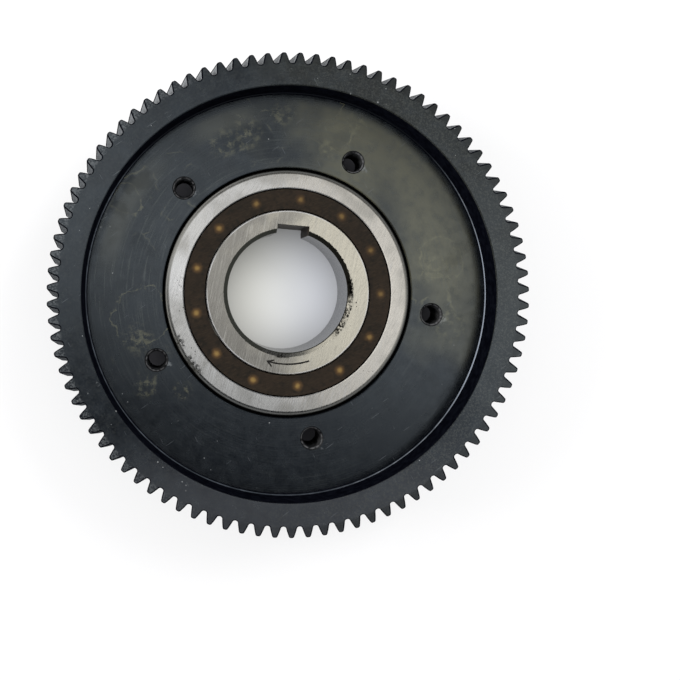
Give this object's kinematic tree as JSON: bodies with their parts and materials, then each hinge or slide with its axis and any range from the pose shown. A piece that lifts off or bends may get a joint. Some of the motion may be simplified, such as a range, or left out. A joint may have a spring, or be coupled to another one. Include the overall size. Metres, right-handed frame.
{
  "type": "gear with sprag clutch",
  "caption": "Black helical gear with a keyed one-way sprag clutch in its centre: the keyed inner ring turns free clockwise and locks to the gear the other way.",
  "frame": {"origin": "centre of the bore in the plane of the hub's back face, the lowest plane of the part", "axes": "+Z along the bore axis, out of the front face that carries the arrow; +X towards the first ball; the keyway lies 85 degrees anticlockwise of +X seen from the front"},
  "size_m": [0.116, 0.116, 0.0258],
  "materials": {
    "gear_black_oxide": "turned steel, black oxide, oiled",
    "ring_ground_steel": "hardened and ground",
    "brown_plastic": "moulded brown polyamide, satin",
    "cage_steel": "pressed sheet steel",
    "spring_steel": "rolled strip, blued",
    "ball_steel": "polished",
    "sprag_steel": "drawn and hardened"
  },
  "bodies": {
    "gear_and_outer_ring": {"gear": "gear_black_oxide", "outer_ring": "ring_ground_steel", "sprag_outer_cage": "cage_steel", "sprag_inner_cage": "cage_steel", "sprag_spring": "spring_steel", "back_cover": "brown_plastic"},
    "inner_ring": {"inner_ring": "ring_ground_steel"},
    "ball_cage": {"ball_cage": "brown_plastic"},
    "ball_01": {"ball_01": "ball_steel"},
    "ball_02": {"ball_02": "ball_steel"},
    "ball_03": {"ball_03": "ball_steel"},
    "ball_04": {"ball_04": "ball_steel"},
    "ball_05": {"ball_05": "ball_steel"},
    "ball_06": {"ball_06": "ball_steel"},
    "ball_07": {"ball_07": "ball_steel"},
    "ball_08": {"ball_08": "ball_steel"},
    "ball_09": {"ball_09": "ball_steel"},
    "ball_10": {"ball_10": "ball_steel"},
    "ball_11": {"ball_11": "ball_steel"},
    "ball_12": {"ball_12": "ball_steel"},
    "ball_13": {"ball_13": "ball_steel"},
    "sprag_01": {"sprag_01": "sprag_steel"},
    "sprag_02": {"sprag_02": "sprag_steel"},
    "sprag_03": {"sprag_03": "sprag_steel"},
    "sprag_04": {"sprag_04": "sprag_steel"},
    "sprag_05": {"sprag_05": "sprag_steel"},
    "sprag_06": {"sprag_06": "sprag_steel"},
    "sprag_07": {"sprag_07": "sprag_steel"},
    "sprag_08": {"sprag_08": "sprag_steel"},
    "sprag_09": {"sprag_09": "sprag_steel"},
    "sprag_10": {"sprag_10": "sprag_steel"},
    "sprag_11": {"sprag_11": "sprag_steel"},
    "sprag_12": {"sprag_12": "sprag_steel"},
    "sprag_13": {"sprag_13": "sprag_steel"},
    "sprag_14": {"sprag_14": "sprag_steel"},
    "sprag_15": {"sprag_15": "sprag_steel"},
    "sprag_16": {"sprag_16": "sprag_steel"},
    "sprag_17": {"sprag_17": "sprag_steel"},
    "sprag_18": {"sprag_18": "sprag_steel"},
    "sprag_19": {"sprag_19": "sprag_steel"},
    "sprag_20": {"sprag_20": "sprag_steel"}
  },
  "joints": [
    {"name": "inner_ring_overrun", "type": "hinge", "parent": "gear_and_outer_ring", "child": "inner_ring", "pos_m": [0, 0, 0.01], "axis": [0, 0, -1], "range_deg": [0, 3690]},
    {"name": "cage_turn", "type": "hinge", "parent": "gear_and_outer_ring", "child": "ball_cage", "pos_m": [0, 0, 0.0134], "axis": [0, 0, -1], "range_deg": [0, 1592]},
    {"name": "ball_01_roll", "type": "hinge", "parent": "ball_cage", "child": "ball_01", "pos_m": [0.02312, -0.00048, 0.0134], "axis": [0, 0, -1], "range_deg": [-13185, 0]},
    {"name": "ball_02_roll", "type": "hinge", "parent": "ball_cage", "child": "ball_02", "pos_m": [0.0207, 0.01032, 0.0134], "axis": [0, 0, -1], "range_deg": [-13185, 0]},
    {"name": "ball_03_roll", "type": "hinge", "parent": "ball_cage", "child": "ball_03", "pos_m": [0.01353, 0.01875, 0.0134], "axis": [0, 0, -1], "range_deg": [-13185, 0]},
    {"name": "ball_04_roll", "type": "hinge", "parent": "ball_cage", "child": "ball_04", "pos_m": [0.00327, 0.02289, 0.0134], "axis": [0, 0, -1], "range_deg": [-13185, 0]},
    {"name": "ball_05_roll", "type": "hinge", "parent": "ball_cage", "child": "ball_05", "pos_m": [-0.00775, 0.02179, 0.0134], "axis": [0, 0, -1], "range_deg": [-13185, 0]},
    {"name": "ball_06_roll", "type": "hinge", "parent": "ball_cage", "child": "ball_06", "pos_m": [-0.01698, 0.01569, 0.0134], "axis": [0, 0, -1], "range_deg": [-13185, 0]},
    {"name": "ball_07_roll", "type": "hinge", "parent": "ball_cage", "child": "ball_07", "pos_m": [-0.02233, 0.006, 0.0134], "axis": [0, 0, -1], "range_deg": [-13185, 0]},
    {"name": "ball_08_roll", "type": "hinge", "parent": "ball_cage", "child": "ball_08", "pos_m": [-0.02256, -0.00506, 0.0134], "axis": [0, 0, -1], "range_deg": [-13185, 0]},
    {"name": "ball_09_roll", "type": "hinge", "parent": "ball_cage", "child": "ball_09", "pos_m": [-0.01763, -0.01497, 0.0134], "axis": [0, 0, -1], "range_deg": [-13185, 0]},
    {"name": "ball_10_roll", "type": "hinge", "parent": "ball_cage", "child": "ball_10", "pos_m": [-0.00865, -0.02145, 0.0134], "axis": [0, 0, -1], "range_deg": [-13185, 0]},
    {"name": "ball_11_roll", "type": "hinge", "parent": "ball_cage", "child": "ball_11", "pos_m": [0.00231, -0.02301, 0.0134], "axis": [0, 0, -1], "range_deg": [-13185, 0]},
    {"name": "ball_12_roll", "type": "hinge", "parent": "ball_cage", "child": "ball_12", "pos_m": [0.01274, -0.0193, 0.0134], "axis": [0, 0, -1], "range_deg": [-13185, 0]},
    {"name": "ball_13_roll", "type": "hinge", "parent": "ball_cage", "child": "ball_13", "pos_m": [0.02025, -0.01117, 0.0134], "axis": [0, 0, -1], "range_deg": [-13185, 0]},
    {"name": "sprag_01_tilt", "type": "hinge", "parent": "gear_and_outer_ring", "child": "sprag_01", "pos_m": [0.02312, 0, 0.0067], "axis": [0, 0, 1], "range_deg": [0, 4], "stiffness_Nm_per_rad": 0.0002},
    {"name": "sprag_02_tilt", "type": "hinge", "parent": "gear_and_outer_ring", "child": "sprag_02", "pos_m": [0.02199, 0.00715, 0.0067], "axis": [0, 0, 1], "range_deg": [0, 4]},
    {"name": "sprag_03_tilt", "type": "hinge", "parent": "gear_and_outer_ring", "child": "sprag_03", "pos_m": [0.01871, 0.01359, 0.0067], "axis": [0, 0, 1], "range_deg": [0, 4]},
    {"name": "sprag_04_tilt", "type": "hinge", "parent": "gear_and_outer_ring", "child": "sprag_04", "pos_m": [0.01359, 0.01871, 0.0067], "axis": [0, 0, 1], "range_deg": [0, 4]},
    {"name": "sprag_05_tilt", "type": "hinge", "parent": "gear_and_outer_ring", "child": "sprag_05", "pos_m": [0.00715, 0.02199, 0.0067], "axis": [0, 0, 1], "range_deg": [0, 4]},
    {"name": "sprag_06_tilt", "type": "hinge", "parent": "gear_and_outer_ring", "child": "sprag_06", "pos_m": [0, 0.02312, 0.0067], "axis": [0, 0, 1], "range_deg": [0, 4]},
    {"name": "sprag_07_tilt", "type": "hinge", "parent": "gear_and_outer_ring", "child": "sprag_07", "pos_m": [-0.00715, 0.02199, 0.0067], "axis": [0, 0, 1], "range_deg": [0, 4]},
    {"name": "sprag_08_tilt", "type": "hinge", "parent": "gear_and_outer_ring", "child": "sprag_08", "pos_m": [-0.01359, 0.01871, 0.0067], "axis": [0, 0, 1], "range_deg": [0, 4]},
    {"name": "sprag_09_tilt", "type": "hinge", "parent": "gear_and_outer_ring", "child": "sprag_09", "pos_m": [-0.01871, 0.01359, 0.0067], "axis": [0, 0, 1], "range_deg": [0, 4]},
    {"name": "sprag_10_tilt", "type": "hinge", "parent": "gear_and_outer_ring", "child": "sprag_10", "pos_m": [-0.02199, 0.00715, 0.0067], "axis": [0, 0, 1], "range_deg": [0, 4]},
    {"name": "sprag_11_tilt", "type": "hinge", "parent": "gear_and_outer_ring", "child": "sprag_11", "pos_m": [-0.02312, 0, 0.0067], "axis": [0, 0, 1], "range_deg": [0, 4]},
    {"name": "sprag_12_tilt", "type": "hinge", "parent": "gear_and_outer_ring", "child": "sprag_12", "pos_m": [-0.02199, -0.00715, 0.0067], "axis": [0, 0, 1], "range_deg": [0, 4]},
    {"name": "sprag_13_tilt", "type": "hinge", "parent": "gear_and_outer_ring", "child": "sprag_13", "pos_m": [-0.01871, -0.01359, 0.0067], "axis": [0, 0, 1], "range_deg": [0, 4]},
    {"name": "sprag_14_tilt", "type": "hinge", "parent": "gear_and_outer_ring", "child": "sprag_14", "pos_m": [-0.01359, -0.01871, 0.0067], "axis": [0, 0, 1], "range_deg": [0, 4]},
    {"name": "sprag_15_tilt", "type": "hinge", "parent": "gear_and_outer_ring", "child": "sprag_15", "pos_m": [-0.00715, -0.02199, 0.0067], "axis": [0, 0, 1], "range_deg": [0, 4]},
    {"name": "sprag_16_tilt", "type": "hinge", "parent": "gear_and_outer_ring", "child": "sprag_16", "pos_m": [0, -0.02312, 0.0067], "axis": [0, 0, 1], "range_deg": [0, 4]},
    {"name": "sprag_17_tilt", "type": "hinge", "parent": "gear_and_outer_ring", "child": "sprag_17", "pos_m": [0.00715, -0.02199, 0.0067], "axis": [0, 0, 1], "range_deg": [0, 4]},
    {"name": "sprag_18_tilt", "type": "hinge", "parent": "gear_and_outer_ring", "child": "sprag_18", "pos_m": [0.01359, -0.01871, 0.0067], "axis": [0, 0, 1], "range_deg": [0, 4]},
    {"name": "sprag_19_tilt", "type": "hinge", "parent": "gear_and_outer_ring", "child": "sprag_19", "pos_m": [0.01871, -0.01359, 0.0067], "axis": [0, 0, 1], "range_deg": [0, 4]},
    {"name": "sprag_20_tilt", "type": "hinge", "parent": "gear_and_outer_ring", "child": "sprag_20", "pos_m": [0.02199, -0.00715, 0.0067], "axis": [0, 0, 1], "range_deg": [0, 4]}
  ],
  "couplings": [
    {"joint": "cage_turn", "follows": "inner_ring_overrun", "ratio": 0.43135},
    {"joint": "ball_01_roll", "follows": "inner_ring_overrun", "ratio": -3.5731},
    {"joint": "ball_02_roll", "follows": "inner_ring_overrun", "ratio": -3.5731},
    {"joint": "ball_03_roll", "follows": "inner_ring_overrun", "ratio": -3.5731},
    {"joint": "ball_04_roll", "follows": "inner_ring_overrun", "ratio": -3.5731},
    {"joint": "ball_05_roll", "follows": "inner_ring_overrun", "ratio": -3.5731},
    {"joint": "ball_06_roll", "follows": "inner_ring_overrun", "ratio": -3.5731},
    {"joint": "ball_07_roll", "follows": "inner_ring_overrun", "ratio": -3.5731},
    {"joint": "ball_08_roll", "follows": "inner_ring_overrun", "ratio": -3.5731},
    {"joint": "ball_09_roll", "follows": "inner_ring_overrun", "ratio": -3.5731},
    {"joint": "ball_10_roll", "follows": "inner_ring_overrun", "ratio": -3.5731},
    {"joint": "ball_11_roll", "follows": "inner_ring_overrun", "ratio": -3.5731},
    {"joint": "ball_12_roll", "follows": "inner_ring_overrun", "ratio": -3.5731},
    {"joint": "ball_13_roll", "follows": "inner_ring_overrun", "ratio": -3.5731},
    {"joint": "sprag_02_tilt", "follows": "sprag_01_tilt", "ratio": 1},
    {"joint": "sprag_03_tilt", "follows": "sprag_01_tilt", "ratio": 1},
    {"joint": "sprag_04_tilt", "follows": "sprag_01_tilt", "ratio": 1},
    {"joint": "sprag_05_tilt", "follows": "sprag_01_tilt", "ratio": 1},
    {"joint": "sprag_06_tilt", "follows": "sprag_01_tilt", "ratio": 1},
    {"joint": "sprag_07_tilt", "follows": "sprag_01_tilt", "ratio": 1},
    {"joint": "sprag_08_tilt", "follows": "sprag_01_tilt", "ratio": 1},
    {"joint": "sprag_09_tilt", "follows": "sprag_01_tilt", "ratio": 1},
    {"joint": "sprag_10_tilt", "follows": "sprag_01_tilt", "ratio": 1},
    {"joint": "sprag_11_tilt", "follows": "sprag_01_tilt", "ratio": 1},
    {"joint": "sprag_12_tilt", "follows": "sprag_01_tilt", "ratio": 1},
    {"joint": "sprag_13_tilt", "follows": "sprag_01_tilt", "ratio": 1},
    {"joint": "sprag_14_tilt", "follows": "sprag_01_tilt", "ratio": 1},
    {"joint": "sprag_15_tilt", "follows": "sprag_01_tilt", "ratio": 1},
    {"joint": "sprag_16_tilt", "follows": "sprag_01_tilt", "ratio": 1},
    {"joint": "sprag_17_tilt", "follows": "sprag_01_tilt", "ratio": 1},
    {"joint": "sprag_18_tilt", "follows": "sprag_01_tilt", "ratio": 1},
    {"joint": "sprag_19_tilt", "follows": "sprag_01_tilt", "ratio": 1},
    {"joint": "sprag_20_tilt", "follows": "sprag_01_tilt", "ratio": 1}
  ]
}
